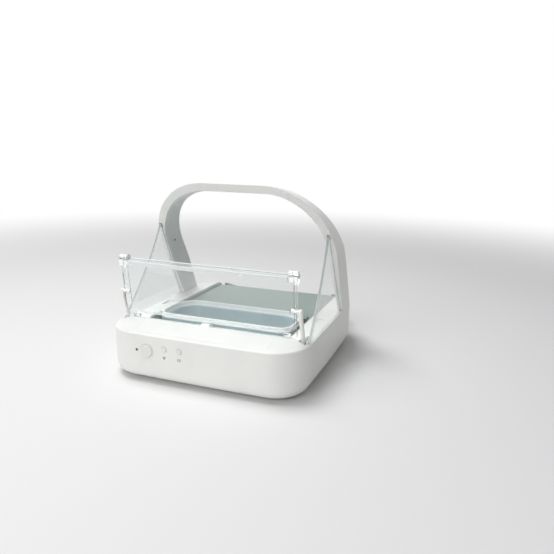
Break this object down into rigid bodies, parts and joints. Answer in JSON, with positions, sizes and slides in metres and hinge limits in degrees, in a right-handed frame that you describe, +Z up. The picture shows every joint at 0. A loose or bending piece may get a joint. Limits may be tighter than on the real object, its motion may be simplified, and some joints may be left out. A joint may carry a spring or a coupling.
{
  "type": "pet feeder",
  "caption": "Battery pet feeder with a clear folding lid that opens over a bowl, an arch with clear side windows, a lift-out mat and end-wall buttons.",
  "frame": {"origin": "centre of the bounding box on the floor, under the feet", "axes": "+X to the right seen from the control end, +Y from the control end towards the pet, +Z up"},
  "size_m": [0.23, 0.3207, 0.2089],
  "materials": {
    "casing_white": "glossy white ABS",
    "arm_white": "glossy white ABS",
    "liner_white": "satin white ABS",
    "clear_plastic": "clear moulded polycarbonate",
    "foot_rubber": "soft grey rubber",
    "steel": "plain steel",
    "bushing_plastic": "natural acetal",
    "housing_grey": "satin grey ABS",
    "motor_steel": "plated steel can",
    "button_grey": "satin light grey",
    "switch_black": "matt black",
    "board_green": "solder mask",
    "light_lens": "dark translucent, unlit",
    "bowl_plastic": "blue-grey glossy",
    "seal_white": "cream silicone",
    "mat_plastic": "grey-green satin",
    "coil_copper": "enamelled copper wire",
    "cell_wrap": "plain dark wrap",
    "contact_nickel": "nickel plate",
    "cover_white": "satin white ABS"
  },
  "bodies": {
    "casing": {"upper_casing": "casing_white", "arch_inner_cover": "liner_white", "lower_casing": "casing_white", "hinge_cover": "casing_white", "window_left": "clear_plastic", "window_right": "clear_plastic", "rubber_feet": "foot_rubber", "shaft_bushings": "bushing_plastic", "gearbox_housing": "housing_grey", "drive_motor": "motor_steel", "button_switches": "switch_black", "control_board": "board_green", "board_screws": "steel", "status_light": "light_lens", "antenna_coil": "coil_copper", "sensor_left": "switch_black", "sensor_right": "switch_black", "battery_tray_left": "housing_grey", "battery_tray_right": "housing_grey", "battery_cells": "cell_wrap", "battery_contacts": "contact_nickel", "casing_screws": "steel"},
    "lid": {"lid_rear_panel": "clear_plastic", "lid_hinge_pins": "steel", "lid_arm_left": "arm_white", "lid_arm_right": "arm_white", "drive_shaft": "steel", "drive_gear": "bushing_plastic"},
    "lid_front": {"lid_front_panel": "clear_plastic"},
    "pinion": {"drive_pinion": "bushing_plastic"},
    "large_button": {"large_button": "button_grey"},
    "small_button_left": {"small_button_left": "button_grey"},
    "small_button_right": {"small_button_right": "button_grey"},
    "battery_cover_left": {"battery_cover_left": "cover_white"},
    "battery_cover_right": {"battery_cover_right": "cover_white"},
    "mat": {"mat": "mat_plastic"},
    "bowl": {"bowl": "bowl_plastic", "bowl_seal": "seal_white"}
  },
  "joints": [
    {"name": "lid_turn", "type": "hinge", "parent": "casing", "child": "lid", "pos_m": [0, -0.119, 0.0545], "axis": [1, 0, 0], "range_deg": [-97, 0]},
    {"name": "lid_fold", "type": "hinge", "parent": "lid", "child": "lid_front", "pos_m": [0, -0.13213, 0.12946], "axis": [1, 0, 0], "range_deg": [0, 180]},
    {"name": "pinion_turn", "type": "hinge", "parent": "casing", "child": "pinion", "pos_m": [-0.0055, -0.12392, 0.04597], "axis": [1, 0, 0], "range_deg": [0, 130]},
    {"name": "large_button_press", "type": "slide", "parent": "casing", "child": "large_button", "axis": [0, 1, 0], "range_m": [0, 0.001], "stiffness_N_per_m": 1200, "springref_m": -0.0008},
    {"name": "small_button_left_press", "type": "slide", "parent": "casing", "child": "small_button_left", "axis": [0, 1, 0], "range_m": [0, 0.001], "stiffness_N_per_m": 1200, "springref_m": -0.0008},
    {"name": "small_button_right_press", "type": "slide", "parent": "casing", "child": "small_button_right", "axis": [0, 1, 0], "range_m": [0, 0.001], "stiffness_N_per_m": 1200, "springref_m": -0.0008},
    {"name": "battery_cover_left_turn", "type": "hinge", "parent": "casing", "child": "battery_cover_left", "pos_m": [-0.034, -0.0097, 0.004], "axis": [1, 0, 0], "range_deg": [-100, 0]},
    {"name": "battery_cover_right_turn", "type": "hinge", "parent": "casing", "child": "battery_cover_right", "pos_m": [0.034, -0.0097, 0.004], "axis": [1, 0, 0], "range_deg": [-100, 0]},
    {"name": "mat_lift", "type": "slide", "parent": "casing", "child": "mat", "axis": [0, 0, 1], "range_m": [0, 0.045]},
    {"name": "bowl_lift", "type": "slide", "parent": "mat", "child": "bowl", "axis": [0, 0, 1], "range_m": [0, 0.07]}
  ],
  "couplings": [
    {"joint": "lid_fold", "follows": "lid_turn", "ratio": -1.8557},
    {"joint": "pinion_turn", "follows": "lid_turn", "ratio": -1.3333}
  ]
}
